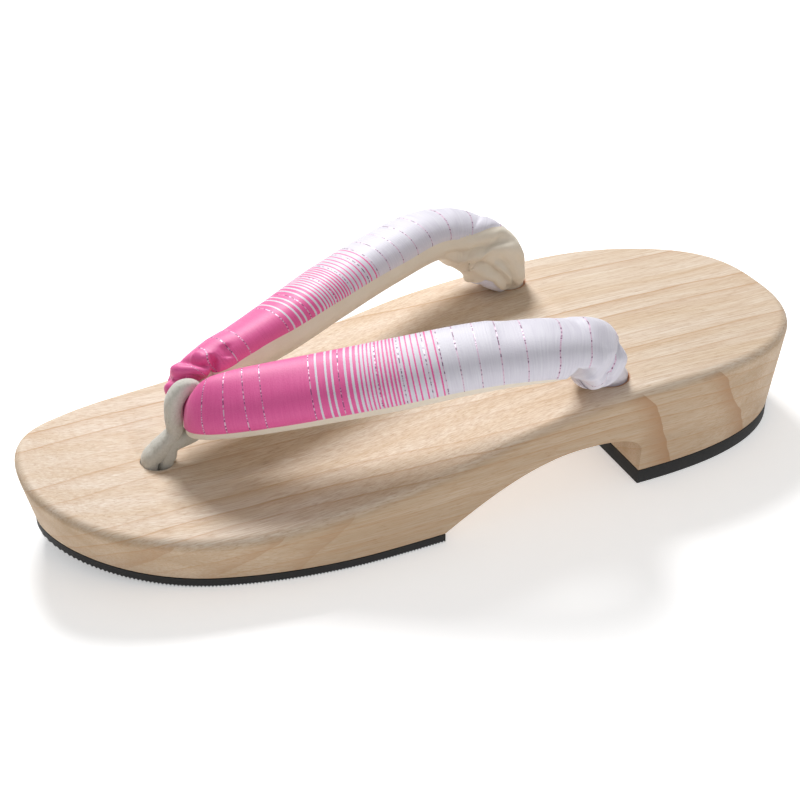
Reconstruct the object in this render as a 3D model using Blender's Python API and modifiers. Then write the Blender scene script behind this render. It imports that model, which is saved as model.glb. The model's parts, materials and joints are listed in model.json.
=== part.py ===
"""Geta sandal: a carved wooden base on two rubber soles, with a padded thong strap held by a toe loop.

Metres, +Z up. The origin is on the ground under the middle of the deck, +X points to the toe.
"""

import math

import bmesh
import bpy
from mathutils import Matrix, Vector

# Deck, seen from above. Lengths along the sandal are measured back from the toe.
LENGTH = 0.240
DECK_FRONT_WIDTH = 0.0920
DECK_HEEL_WIDTH = 0.0872
DECK_TOE_LENGTH = 0.089
DECK_TOE_POWER = 2.39
DECK_HEEL_LENGTH = 0.0676
DECK_HEEL_POWER = 2.54
ARRIS_RADIUS = 0.003

# Outline of the underside, a little inside the deck's.
SOLE_FRONT_WIDTH = 0.0884
SOLE_HEEL_WIDTH = 0.0840
SOLE_TOE_LENGTH = 0.085
SOLE_TOE_POWER = 1.89
SOLE_TOE_INSET = 0.0029
SOLE_HEEL_INSET = 0.0026

# Side view.
HEEL_HEIGHT = 0.0340
TOE_SPRING = 0.0071
SPRING_LENGTH = 0.044
FRONT_RUBBER = 0.0026
HEEL_RUBBER = 0.0045
FRONT_TREAD_END = 0.1072
HEEL_BLOCK_START = 0.1712
ARCH_HEIGHT = 0.0190
ARCH_CORNER = 0.0052
GLUE_GAP = 0.0003

# Holes for the strap and its loop.
FRONT_HOLE_FROM_TOE = 0.0380
FRONT_HOLE_RADIUS = 0.0048
REAR_HOLE_FROM_TOE = 0.1648
REAR_HOLE_OFFSET = 0.0318
REAR_HOLE_RADIUS = 0.0055
HOLE_CLEARANCE = 0.0004

# Strap and loop.
STRAP_WIDTH = 0.0220
STRAP_THICKNESS = 0.0150
STRAP_RISE = 0.0240
FOLD_FROM_HOLE = 0.0107
FOLD_HEIGHT = 0.0150
FOLD_WIDTH = 0.0100
FOLD_THICKNESS = 0.0042
LOOP_RADIUS = 0.0025
LOOP_REAR_RADIUS = 0.0018
LOOP_CLEARANCE = 0.0005

# Height of the deck: place as a share of the length from the toe, height as a share of the heel's.
DECK_PROFILE = (
    (0.00, 0.81),
    (0.08, 0.64),
    (0.20, 0.54),
    (0.32, 0.585),
    (0.44, 0.706),
    (0.56, 0.885),
    (0.68, 0.98),
    (0.80, 1.00),
    (0.92, 0.985),
    (1.00, 1.00),
)

# Half of the strap, from beside its fold to where it meets the deck.
# back: share of the way from the fold to the rear hole. out: share of the rear hole's offset.
# up: share of the strap's rise above the deck. wide and thick: shares of its section.
# lean: degrees that the outer edge is turned down.
# side and down: shares by which the section faces straight sideways, or straight down over the hole.
STRAP_STATIONS = (
    # back, out, up, wide, thick, lean, side, down
    (0.006, 0.18, 0.73, 0.66, 0.50, 68, 0.60, 0.00),
    (0.036, 0.25, 0.81, 0.79, 0.75, 50, 0.25, 0.00),
    (0.11, 0.355, 0.865, 0.88, 0.93, 30, 0.00, 0.00),
    (0.27, 0.56, 0.93, 0.95, 1.00, 19, 0.00, 0.00),
    (0.44, 0.80, 0.985, 1.00, 1.02, 13, 0.00, 0.00),
    (0.615, 1.01, 0.975, 0.985, 1.01, 10, 0.00, 0.00),
    (0.77, 1.19, 0.90, 0.95, 0.99, 7, 0.00, 0.00),
    (0.87, 1.19, 0.74, 0.93, 0.96, 4, 0.00, 0.00),
    (0.925, 1.11, 0.56, 0.90, 0.96, 2, 0.00, 0.00),
    (0.955, 1.01, 0.37, 0.83, 0.98, 0, 0.00, 0.30),
    (0.972, 0.975, 0.22, 0.74, 1.00, 0, 0.00, 0.70),
    (0.983, 0.98, 0.12, 0.64, 0.93, 0, 0.00, 1.00),
    (0.992, 0.995, 0.054, 0.54, 0.79, 0, 0.00, 1.00),
)

# Legs of the loop, from its ring down to the front hole.
# back: share of the way from the leg's place in the hole to the fold. up: share of the fold's height.
LOOP_FRONT_LEG = (
    # back, up
    (0.00, 0.03),
    (0.19, 0.29),
    (0.45, 0.64),
)
LOOP_REAR_LEG = (
    # back, up
    (0.61, 0.37),
    (0.22, 0.17),
    (0.00, -0.05),
)
LOOP_DEPTH = 0.010

POINTS_PER_END = 14
POINTS_PER_SIDE = 8
SECTION_POINTS = 20
OVAL_POWER = 0.85
STEPS_PER_STATION = 3


def clear_scene():
    for item in list(bpy.data.objects):
        bpy.data.objects.remove(item, do_unlink=True)


def new_collection(name, hidden=False):
    made = bpy.data.collections.new(name)
    bpy.context.scene.collection.children.link(made)
    made.hide_render = hidden
    return made


def material(name, colour, roughness, metallic=0.0):
    made = bpy.data.materials.new(name)
    made.use_nodes = True
    shader = made.node_tree.nodes["Principled BSDF"]
    shader.inputs["Base Color"].default_value = (*colour, 1.0)
    shader.inputs["Roughness"].default_value = roughness
    shader.inputs["Metallic"].default_value = metallic
    return made


def place(bm, name, collection, finish=None):
    """Puts a finished bmesh in the scene as an object of its own."""
    bmesh.ops.recalc_face_normals(bm, faces=bm.faces)
    mesh = bpy.data.meshes.new(name)
    bm.to_mesh(mesh)
    bm.free()
    made = bpy.data.objects.new(name, mesh)
    collection.objects.link(made)
    if finish:
        mesh.materials.append(finish)
        mesh.shade_smooth()
        mesh.set_sharp_from_angle(angle=math.radians(40))
    return made


def smooth_value(table, place_along, column):
    """One column of a table at a place between its rows, on a smooth curve through them."""
    rows = [(row[0], row[column]) for row in table]
    last = len(rows) - 1
    index = max(i for i in range(last) if rows[i][0] <= place_along or i == 0)
    start, end = rows[index], rows[index + 1]
    before, after = rows[max(index - 1, 0)], rows[min(index + 2, last)]
    span = end[0] - start[0]
    share = (place_along - start[0]) / span
    slope_in = (end[1] - before[1]) / (end[0] - before[0]) * span
    slope_out = (after[1] - start[1]) / (after[0] - start[0]) * span
    return (
        (2 * share**3 - 3 * share**2 + 1) * start[1]
        + (share**3 - 2 * share**2 + share) * slope_in
        + (3 * share**2 - 2 * share**3) * end[1]
        + (share**3 - share**2) * slope_out
    )


def x_at(from_toe):
    return LENGTH / 2 - from_toe


def deck_height(x):
    share = min(max((LENGTH / 2 - x) / LENGTH, 0.0), 1.0)
    return HEEL_HEIGHT * smooth_value(DECK_PROFILE, share, 1)


def spring_height(x):
    """Height of the rubber's underside, which turns up towards the toe."""
    from_toe = LENGTH / 2 - x
    share = max(SPRING_LENGTH - from_toe, 0.0) / (SPRING_LENGTH - SOLE_TOE_INSET)
    return TOE_SPRING * share**2


def wood_underside(x):
    """The blank's underside. Its step lies where the arch is cut away."""
    if LENGTH / 2 - x < (FRONT_TREAD_END + HEEL_BLOCK_START) / 2:
        return spring_height(x) + FRONT_RUBBER + GLUE_GAP
    return HEEL_RUBBER + GLUE_GAP


def half_outline(front_width, heel_width, toe_start, toe_length, toe_power, heel_end):
    """Points of one long side, from the toe's tip to the heel's: round ends with a slim taper between."""
    points = []
    for step in range(POINTS_PER_END):
        turn = math.pi / 2 * step / POINTS_PER_END
        along = toe_start + toe_length * (1 - math.cos(turn) ** (2 / toe_power))
        points.append((along, front_width / 2 * math.sin(turn) ** (2 / toe_power)))
    straight_start = toe_start + toe_length
    straight_end = heel_end - DECK_HEEL_LENGTH
    for step in range(POINTS_PER_SIDE + 1):
        share = step / POINTS_PER_SIDE
        ease = share * share * (3 - 2 * share)
        width = front_width + (heel_width - front_width) * ease
        points.append((straight_start + (straight_end - straight_start) * share, width / 2))
    for step in range(POINTS_PER_END - 1, -1, -1):
        turn = math.pi / 2 * step / POINTS_PER_END
        along = heel_end - DECK_HEEL_LENGTH * (1 - math.cos(turn) ** (2 / DECK_HEEL_POWER))
        points.append((along, heel_width / 2 * math.sin(turn) ** (2 / DECK_HEEL_POWER)))
    return [(x_at(along), out) for along, out in points]


def outline_ring(half, inset=0.0):
    """The whole outline, moved inwards along its normals: the near side first, then back along the far side."""
    ring = half + [(x, -out) for x, out in reversed(half[1:-1])]
    count = len(ring)
    moved = []
    for i, (x, y) in enumerate(ring):
        ahead, behind = ring[(i + 1) % count], ring[i - 1]
        run = Vector((ahead[0] - behind[0], ahead[1] - behind[1])).normalized()
        moved.append((x - run.y * inset, y + run.x * inset))
    return moved


def stack(bm, rings):
    """Skins a stack of closed rings with the same number of points, and closes both ends with rungs across."""
    loops = [[bm.verts.new(point) for point in ring] for ring in rings]
    count = len(loops[0])
    for lower, upper in zip(loops, loops[1:]):
        for i in range(count):
            j = (i + 1) % count
            bm.faces.new((lower[i], lower[j], upper[j], upper[i]))
    for loop in (loops[0], loops[-1]):
        bm.faces.new((loop[0], loop[1], loop[-1]))
        for i in range(1, count // 2 - 1):
            bm.faces.new((loop[i], loop[i + 1], loop[count - i - 1], loop[count - i]))
        middle = count // 2
        bm.faces.new((loop[middle - 1], loop[middle], loop[middle + 1]))


def ring_at(flat_ring, height_of):
    return [(x, y, height_of(x)) for x, y in flat_ring]


def deck_half():
    return half_outline(
        DECK_FRONT_WIDTH, DECK_HEEL_WIDTH, 0.0, DECK_TOE_LENGTH, DECK_TOE_POWER, LENGTH
    )


def sole_half():
    return half_outline(
        SOLE_FRONT_WIDTH,
        SOLE_HEEL_WIDTH,
        SOLE_TOE_INSET,
        SOLE_TOE_LENGTH,
        SOLE_TOE_POWER,
        LENGTH - SOLE_HEEL_INSET,
    )


def as_cutter(item, collection):
    item.hide_render = True
    item.display_type = "WIRE"
    for owner in list(item.users_collection):
        owner.objects.unlink(item)
    collection.objects.link(item)
    return item


def subtract(item, cutter):
    cut = item.modifiers.new("cut " + cutter.name, "BOOLEAN")
    cut.operation = "DIFFERENCE"
    cut.object = cutter


def mesh_from_curve(curve_object, name, collection):
    """A curve has loose caps and can't cut, so it is made a welded mesh and the curve is removed."""
    graph = bpy.context.evaluated_depsgraph_get()
    mesh = bpy.data.meshes.new_from_object(curve_object.evaluated_get(graph))
    bm = bmesh.new()
    bm.from_mesh(mesh)
    bmesh.ops.remove_doubles(bm, verts=bm.verts, dist=0.00001)
    bmesh.ops.recalc_face_normals(bm, faces=bm.faces)
    bm.to_mesh(mesh)
    bm.free()
    made = bpy.data.objects.new(name, mesh)
    made.matrix_world = curve_object.matrix_world
    collection.objects.link(made)
    bpy.data.objects.remove(curve_object, do_unlink=True)
    return made


def arch_cutter(collection):
    """The open space between the front tread and the heel block, drawn from the side as one closed curve."""
    below = 0.01
    crown = (FRONT_TREAD_END + HEEL_BLOCK_START * 2) / 3
    start_height = FRONT_RUBBER + GLUE_GAP
    shoulder = ARCH_HEIGHT - ARCH_CORNER * 0.35
    rise = crown - FRONT_TREAD_END
    # place from the toe, height, handle before, handle after
    knots = (
        (
            (FRONT_TREAD_END, start_height),
            (FRONT_TREAD_END, 0.0),
            (FRONT_TREAD_END + rise * 0.3, start_height + ARCH_HEIGHT * 0.45),
        ),
        (
            (crown, ARCH_HEIGHT),
            (crown - rise * 0.38, ARCH_HEIGHT),
            (crown + rise * 0.2, ARCH_HEIGHT),
        ),
        (
            (HEEL_BLOCK_START - ARCH_CORNER * 0.7, shoulder - ARCH_CORNER * 0.15),
            (HEEL_BLOCK_START - ARCH_CORNER * 1.5, shoulder + ARCH_CORNER * 0.2),
            (HEEL_BLOCK_START - ARCH_CORNER * 0.2, shoulder - ARCH_CORNER * 0.4),
        ),
        (
            (HEEL_BLOCK_START, shoulder - ARCH_CORNER),
            (HEEL_BLOCK_START, shoulder - ARCH_CORNER * 0.6),
            (HEEL_BLOCK_START, 0.0),
        ),
        ((HEEL_BLOCK_START, -below), (HEEL_BLOCK_START, 0.0), (HEEL_BLOCK_START, -below)),
        ((FRONT_TREAD_END, -below), (FRONT_TREAD_END, -below), (FRONT_TREAD_END, 0.0)),
    )
    curve = bpy.data.curves.new("arch_outline", "CURVE")
    curve.dimensions = "2D"
    curve.fill_mode = "BOTH"
    curve.extrude = DECK_FRONT_WIDTH
    curve.resolution_u = 8
    spline = curve.splines.new("BEZIER")
    spline.bezier_points.add(len(knots) - 1)
    spline.use_cyclic_u = True
    for point, (centre, before, after) in zip(spline.bezier_points, knots):
        point.co = (x_at(centre[0]), centre[1], 0.0)
        point.handle_left = (x_at(before[0]), before[1], 0.0)
        point.handle_right = (x_at(after[0]), after[1], 0.0)
    outline = bpy.data.objects.new("arch_outline", curve)
    outline.rotation_euler.x = math.pi / 2
    bpy.context.scene.collection.objects.link(outline)
    bpy.context.view_layer.update()
    return as_cutter(mesh_from_curve(outline, "arch_cutter", collection), collection)


def hole_cutter(name, from_toe, out, radius, collection):
    """An upright drill for one hole, longer than the wood is thick."""
    bm = bmesh.new()
    bmesh.ops.create_cone(
        bm, cap_ends=True, segments=32, radius1=radius, radius2=radius, depth=HEEL_HEIGHT * 3
    )
    bmesh.ops.translate(bm, verts=bm.verts, vec=(x_at(from_toe), out, 0.0))
    return as_cutter(place(bm, name, collection), collection)


def wooden_base(collection, cutters, finish):
    """The blank, rounded over at the deck's edge, with its arch and three holes cut away."""
    deck = deck_half()
    rings = [ring_at(outline_ring(sole_half()), wood_underside)]
    for step in range(5):
        turn = math.pi / 2 * step / 4
        inset = ARRIS_RADIUS * (1 - math.cos(turn))
        drop = ARRIS_RADIUS * (1 - math.sin(turn))
        rings.append(ring_at(outline_ring(deck, inset), lambda x, drop=drop: deck_height(x) - drop))
    bm = bmesh.new()
    stack(bm, rings)
    base = place(bm, "wooden_base", collection, finish)
    subtract(base, arch_cutter(cutters))
    front = hole_cutter("front_hole", FRONT_HOLE_FROM_TOE, 0.0, FRONT_HOLE_RADIUS, cutters)
    subtract(base, front)
    for side, name in ((1, "near_rear_hole"), (-1, "far_rear_hole")):
        out = REAR_HOLE_OFFSET * side
        subtract(base, hole_cutter(name, REAR_HOLE_FROM_TOE, out, REAR_HOLE_RADIUS, cutters))
    return base


def rubber_sole(name, thickness, cut_at, keep_front, collection, finish):
    """A rubber plate under one end of the wood, cut square across at the arch."""
    outline = outline_ring(sole_half())
    bm = bmesh.new()
    stack(
        bm,
        [
            ring_at(outline, spring_height),
            ring_at(outline, lambda x: spring_height(x) + thickness),
        ],
    )
    bmesh.ops.bisect_plane(
        bm,
        geom=bm.verts[:] + bm.edges[:] + bm.faces[:],
        plane_co=(x_at(cut_at), 0.0, 0.0),
        plane_no=(1.0, 0.0, 0.0),
        clear_outer=not keep_front,
        clear_inner=keep_front,
    )
    bmesh.ops.holes_fill(bm, edges=bm.edges, sides=0)
    return place(bm, name, collection, finish)


def strap_centre(station):
    """Centre of the strap at one row of the table of stations."""
    fold = FRONT_HOLE_FROM_TOE + FOLD_FROM_HOLE
    x = x_at(fold + (REAR_HOLE_FROM_TOE - fold) * station[0])
    return Vector((x, REAR_HOLE_OFFSET * station[1], deck_height(x) + STRAP_RISE * station[2]))


def fold_centre():
    x = x_at(FRONT_HOLE_FROM_TOE + FOLD_FROM_HOLE)
    return Vector((x, 0.0, deck_height(x) + FOLD_HEIGHT))


def strap_rows():
    """Main sections from the fold down the hole: centre, width, thickness, lean, side and down."""
    fold = fold_centre()
    beside = fold + Vector((0.0, STRAP_WIDTH * 0.15, STRAP_RISE * 0.02))
    rows = [
        (fold, FOLD_WIDTH, FOLD_THICKNESS, 90, 1.0, 0.0),
        (beside, FOLD_WIDTH * 1.1, FOLD_THICKNESS * 1.1, 80, 0.9, 0.0),
    ]
    for station in STRAP_STATIONS:
        wide, thick, *turns = station[3:]
        size = (STRAP_WIDTH * wide, STRAP_THICKNESS * thick)
        rows.append((strap_centre(station), *size, *turns))
    x = x_at(REAR_HOLE_FROM_TOE)
    stem = 2 * (REAR_HOLE_RADIUS - HOLE_CLEARANCE)
    for depth in (-0.01, 0.2, 0.42):
        end = Vector((x, REAR_HOLE_OFFSET, deck_height(x) - HEEL_HEIGHT * depth))
        rows.append((end, stem, stem, 0, 0.0, 1.0))
    return rows


def between(points, index, share):
    """A place between two points, on a smooth curve through them and the points on either side."""
    before, start = points[max(index - 1, 0)], points[index]
    end, after = points[index + 1], points[min(index + 2, len(points) - 1)]
    weights = (
        -0.5 * share + share**2 - 0.5 * share**3,
        1 - 2.5 * share**2 + 1.5 * share**3,
        0.5 * share + 2 * share**2 - 1.5 * share**3,
        0.5 * share**3 - 0.5 * share**2,
    )
    return sum((p * w for p, w in zip((before, start, end, after), weights)), Vector((0, 0, 0)))


def strap_section(centre, run, wide, thick, lean, power):
    """A plump oval, square to the strap's run, with its outer edge turned down by the lean."""
    across = run.cross(Vector((0.0, 0.0, 1.0)))
    if run.z < -0.5:
        across = Vector((0.0, 1.0, 0.0)) - run * run.y
    across.normalize()
    over = across.cross(run).normalized()
    turn = Matrix.Rotation(math.radians(lean), 3, run)
    points = []
    for step in range(SECTION_POINTS):
        angle = 2 * math.pi * step / SECTION_POINTS
        side = math.copysign(abs(math.cos(angle)) ** power, math.cos(angle)) * wide / 2
        rise = math.copysign(abs(math.sin(angle)) ** power, math.sin(angle)) * thick / 2
        points.append(centre + turn @ (across * side + over * rise))
    return points


def padded_strap(collection, finish):
    """One side of the strap, open at the middle plane, mirrored to the other."""
    rows = strap_rows()
    centres = [row[0] for row in rows]
    sections = []
    for index in range(len(rows) - 1):
        for step in range(STEPS_PER_STATION):
            share = step / STEPS_PER_STATION
            sizes = [a + (b - a) * share for a, b in zip(rows[index][1:], rows[index + 1][1:])]
            sections.append((between(centres, index, share), *sizes))
    sections.append(rows[-1])
    straight_out = Vector((0.0, 1.0, 0.0))
    straight_down = Vector((0.0, 0.0, -1.0))
    bm = bmesh.new()
    loops = []
    for index, (centre, wide, thick, lean, side, down) in enumerate(sections):
        ahead = sections[min(index + 1, len(sections) - 1)][0]
        behind = sections[max(index - 1, 0)][0]
        run = (ahead - behind).normalized().lerp(straight_out, side)
        run = run.lerp(straight_down, down).normalized()
        power = OVAL_POWER + (1.0 - OVAL_POWER) * max(side, down)
        points = strap_section(centre, run, wide, thick, lean, power)
        loops.append([bm.verts.new(point) for point in points])
    for near, far in zip(loops, loops[1:]):
        for i in range(SECTION_POINTS):
            j = (i + 1) % SECTION_POINTS
            bm.faces.new((near[i], near[j], far[j], far[i]))
    bm.faces.new(loops[-1])
    strap = place(bm, "padded_strap", collection, finish)
    mirror = strap.modifiers.new("other side", "MIRROR")
    mirror.use_axis = (False, True, False)
    mirror.merge_threshold = 0.0001
    return strap


def loop_route():
    """Points of the felt tube's middle with its radius there, from the front leg's end round to the rear leg's."""
    fold = fold_centre()
    hole_x = x_at(FRONT_HOLE_FROM_TOE)
    hole_z = deck_height(hole_x)
    leg_radius = (FRONT_HOLE_RADIUS - HOLE_CLEARANCE - LOOP_CLEARANCE / 2) / 2
    step = leg_radius + LOOP_CLEARANCE / 2
    route = []
    for side, leg in ((1, LOOP_FRONT_LEG), (-1, LOOP_REAR_LEG)):
        foot_x = hole_x + step * side
        points = []
        for back, up in leg:
            x = foot_x + (fold.x - foot_x) * back
            height = hole_z + FOLD_HEIGHT * up
            radius = leg_radius + (LOOP_RADIUS - leg_radius) * min(max(up, 0.0) * 2, 1.0)
            points.append((Vector((x, 0.0, height)), radius))
        foot = (Vector((foot_x, 0.0, hole_z - LOOP_DEPTH)), leg_radius)
        if side > 0:
            route += [foot] + points
            for turn in range(-10, 271, 40):
                angle = math.radians(turn)
                behind = max(-math.cos(angle), 0.0)
                radius = LOOP_RADIUS + (LOOP_REAR_RADIUS - LOOP_RADIUS) * behind
                reach = radius + LOOP_CLEARANCE
                out = math.cos(angle) * (FOLD_THICKNESS / 2 + reach)
                up = math.sin(angle) * (FOLD_WIDTH / 2 + reach)
                route.append((fold + Vector((out, 0.0, up)), radius))
        else:
            route += points + [foot]
    return route


def toe_loop(collection, finish):
    """The felt tube: down into the front hole at both ends, and once round the strap's fold."""
    route = loop_route()
    centres = [centre for centre, radius in route]
    curve = bpy.data.curves.new("toe_loop", "CURVE")
    curve.dimensions = "3D"
    curve.bevel_depth = LOOP_RADIUS
    curve.bevel_resolution = 3
    curve.use_fill_caps = True
    points = []
    for index in range(len(route) - 1):
        for step in range(STEPS_PER_STATION):
            share = step / STEPS_PER_STATION
            radius = route[index][1] + (route[index + 1][1] - route[index][1]) * share
            points.append((between(centres, index, share), radius))
    points.append(route[-1])
    spline = curve.splines.new("POLY")
    spline.points.add(len(points) - 1)
    for point, (centre, radius) in zip(spline.points, points):
        point.co = (*centre, 1.0)
        point.radius = radius / LOOP_RADIUS
    spline.use_smooth = True
    curve.materials.append(finish)
    made = bpy.data.objects.new("toe_loop", curve)
    collection.objects.link(made)
    return made


clear_scene()
parts = new_collection("geta_sandal")
cutters = new_collection("cutters", hidden=True)
wood = material("pale_wood", (0.78, 0.62, 0.44), 0.6)
rubber = material("black_rubber", (0.01, 0.01, 0.01), 0.8)
cloth = material("pink_and_white_cloth", (0.80, 0.35, 0.55), 0.6)
felt = material("grey_white_felt", (0.66, 0.65, 0.60), 0.95)
wooden_base(parts, cutters, wood)
rubber_sole("front_sole", FRONT_RUBBER, FRONT_TREAD_END, True, parts, rubber)
rubber_sole("heel_sole", HEEL_RUBBER, HEEL_BLOCK_START, False, parts, rubber)
padded_strap(parts, cloth)
toe_loop(parts, felt)
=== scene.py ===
# %% [markdown]
# # A geta sandal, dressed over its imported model
# The sandal is one carved block of pale wood on two black rubber soles, with a padded thong strap.
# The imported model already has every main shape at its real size, in metres, with +X towards the toe.
# Each part gets a finer piece in the same place, with the surface that the real one shows:
# sanded wood with its growth rings, moulded rubber, striped cloth over padding, and felt.
# The values for the main shapes are the same as in the model's own source, so that nothing drifts.

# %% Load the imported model
import json
import math

import bmesh
import bpy
from mathutils import Matrix, Vector
from mathutils.geometry import interpolate_bezier

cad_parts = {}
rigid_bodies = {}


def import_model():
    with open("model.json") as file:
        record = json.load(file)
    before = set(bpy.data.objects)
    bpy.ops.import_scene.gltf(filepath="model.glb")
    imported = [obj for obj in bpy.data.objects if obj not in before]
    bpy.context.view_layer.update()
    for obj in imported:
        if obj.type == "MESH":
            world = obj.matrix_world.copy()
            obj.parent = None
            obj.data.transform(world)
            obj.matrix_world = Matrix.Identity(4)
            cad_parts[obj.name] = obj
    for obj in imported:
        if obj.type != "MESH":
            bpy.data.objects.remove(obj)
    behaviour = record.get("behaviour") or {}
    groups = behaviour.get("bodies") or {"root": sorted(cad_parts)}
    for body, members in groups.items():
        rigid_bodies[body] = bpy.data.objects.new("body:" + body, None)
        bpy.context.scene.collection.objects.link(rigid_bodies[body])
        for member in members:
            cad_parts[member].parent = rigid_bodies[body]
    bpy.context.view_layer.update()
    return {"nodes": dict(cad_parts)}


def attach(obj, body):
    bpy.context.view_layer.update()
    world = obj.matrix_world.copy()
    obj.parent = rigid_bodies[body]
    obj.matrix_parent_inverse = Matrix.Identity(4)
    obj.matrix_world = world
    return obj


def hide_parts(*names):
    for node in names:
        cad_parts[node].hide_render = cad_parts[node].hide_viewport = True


for item in list(bpy.data.objects):
    bpy.data.objects.remove(item)
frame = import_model()
print("nodes:", sorted(frame["nodes"]))

# %% [markdown]
# ## The camera
# The outlines of the deck, the soles and the three holes show where the photograph's camera stood,
# once the sandal's length is set. It looks down on the near side from beyond the toe.

# %% Camera
CAMERA_EYE = Vector((0.1497, 0.3213, 0.2463))
CAMERA_TARGET = Vector((0.0073, -0.0001, 0.0200))
LENS_MM = 62.94


def new_object(name, data):
    """One object for a mesh, a lamp or a camera, put in the scene at the origin."""
    made = bpy.data.objects.new(name, data)
    bpy.context.scene.collection.objects.link(made)
    return made


def aim(item, place, target):
    item.location = place
    item.rotation_euler = (Vector(target) - Vector(place)).to_track_quat("-Z", "Y").to_euler()


camera_data = bpy.data.cameras.new("photo_camera")
camera_data.lens = LENS_MM
camera_data.sensor_width = 36.0
camera_data.clip_start = 0.01
camera = new_object("photo_camera", camera_data)
aim(camera, CAMERA_EYE, CAMERA_TARGET)
bpy.context.scene.camera = camera
print("camera distance in mm:", round(1000 * (CAMERA_TARGET - CAMERA_EYE).length))

# %% [markdown]
# ## Helpers for meshes
# Almost every piece here is a loft: a circle is made for each section, its points are moved to that
# section's outline, and neighbouring circles are bridged. Its tidy rows of points let a stripe or a
# crease be placed by its distance along the piece.


# %% Mesh helpers
MERGE_DISTANCE = 0.000002


def mesh_object(bm, name):
    """Turns the faces outwards and puts the mesh in the scene as one object."""
    bmesh.ops.recalc_face_normals(bm, faces=bm.faces)
    mesh = bpy.data.meshes.new(name)
    bm.to_mesh(mesh)
    bm.free()
    return new_object(name, mesh)


def finished_piece(bm, name):
    """A visible piece, with its double points merged."""
    bmesh.ops.remove_doubles(bm, verts=bm.verts, dist=MERGE_DISTANCE)
    return mesh_object(bm, name)


def section_loop(bm, points):
    """One circle with its points moved to a section's outline. Returns its points and edges."""
    made = bmesh.ops.create_circle(bm, segments=len(points), radius=0.01)
    for vertex, point in zip(made["verts"], points):
        vertex.co = point
    edges = list({edge for vertex in made["verts"] for edge in vertex.link_edges})
    return made["verts"], edges


def bridge_all(bm, loops):
    """Bridges the edges of each section to the next section's."""
    for (_, edges), (_, next_edges) in zip(loops, loops[1:]):
        bmesh.ops.bridge_loops(bm, edges=edges + next_edges)


def loft(bm, sections):
    """Bridges each section to the next. Returns the points and edges of every section."""
    loops = [section_loop(bm, points) for points in sections]
    bridge_all(bm, loops)
    return loops


def apply_modifiers(piece):
    """Keeps what the modifiers make as the piece's own mesh."""
    graph = bpy.context.evaluated_depsgraph_get()
    made = bpy.data.meshes.new_from_object(piece.evaluated_get(graph))
    piece.modifiers.clear()
    piece.data = made


def bevel(piece, width, segments, sharp_degrees):
    """Rounds every edge that is sharper than this."""
    edge = piece.modifiers.new("rounded edges", "BEVEL")
    edge.width = width
    edge.segments = segments
    edge.limit_method = "ANGLE"
    edge.angle_limit = math.radians(sharp_degrees)
    apply_modifiers(piece)


def smooth_shading(piece, sharp_degrees):
    """Smooth shading, apart from edges that are sharper than this."""
    piece.data.shade_smooth()
    piece.data.set_sharp_from_angle(angle=math.radians(sharp_degrees))
    print(piece.name, "faces:", len(piece.data.polygons))


# %% [markdown]
# ## The sandal's side view and outline
# The deck is high at the heel, dips under the ball of the foot and rises again at the toe. A few
# measured heights with a smooth curve through them describe it. Seen from above, each end of the
# deck is a superellipse, which is squarer than an ellipse, and a slim taper joins them.

# %% Side view and outline
LENGTH = 0.240
HEEL_HEIGHT = 0.0340
TOE_SPRING = 0.0071
SPRING_LENGTH = 0.044
FRONT_RUBBER = 0.0026
HEEL_RUBBER = 0.0045
FRONT_TREAD_END = 0.1072
HEEL_BLOCK_START = 0.1712
SOLE_TOE_INSET = 0.0029
GLUE_GAP = 0.0003
# share of the length from the toe, height as a share of the heel's
DECK_PROFILE = (
    (0.00, 0.81), (0.08, 0.64), (0.20, 0.54), (0.32, 0.585), (0.44, 0.706),
    (0.56, 0.885), (0.68, 0.98), (0.80, 1.00), (0.92, 0.985), (1.00, 1.00),
)


def smooth_value(table, place, column):
    """One column of a table at a place between its rows, on a smooth curve through them."""
    rows = [(row[0], row[column]) for row in table]
    last = len(rows) - 1
    index = max(i for i in range(last) if rows[i][0] <= place or i == 0)
    start, end = rows[index], rows[index + 1]
    before, after = rows[max(index - 1, 0)], rows[min(index + 2, last)]
    span = end[0] - start[0]
    share = (place - start[0]) / span
    slope_in = (end[1] - before[1]) / (end[0] - before[0]) * span
    slope_out = (after[1] - start[1]) / (after[0] - start[0]) * span
    return (
        (2 * share**3 - 3 * share**2 + 1) * start[1]
        + (share**3 - 2 * share**2 + share) * slope_in
        + (3 * share**2 - 2 * share**3) * end[1]
        + (share**3 - share**2) * slope_out
    )


def eased(share):
    """0 below 0, 1 above 1, and a smooth step between them."""
    share = min(max(share, 0.0), 1.0)
    return share * share * (3 - 2 * share)


def x_at(from_toe):
    return LENGTH / 2 - from_toe


def deck_height(x):
    share = min(max((LENGTH / 2 - x) / LENGTH, 0.0), 1.0)
    return HEEL_HEIGHT * smooth_value(DECK_PROFILE, share, 1)


def spring_height(x):
    """Height of the rubber's underside, which turns up towards the toe."""
    share = max(SPRING_LENGTH - (LENGTH / 2 - x), 0.0) / (SPRING_LENGTH - SOLE_TOE_INSET)
    return TOE_SPRING * share**2


def wood_underside(x):
    if LENGTH / 2 - x < (FRONT_TREAD_END + HEEL_BLOCK_START) / 2:
        return spring_height(x) + FRONT_RUBBER + GLUE_GAP
    return HEEL_RUBBER + GLUE_GAP


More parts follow.
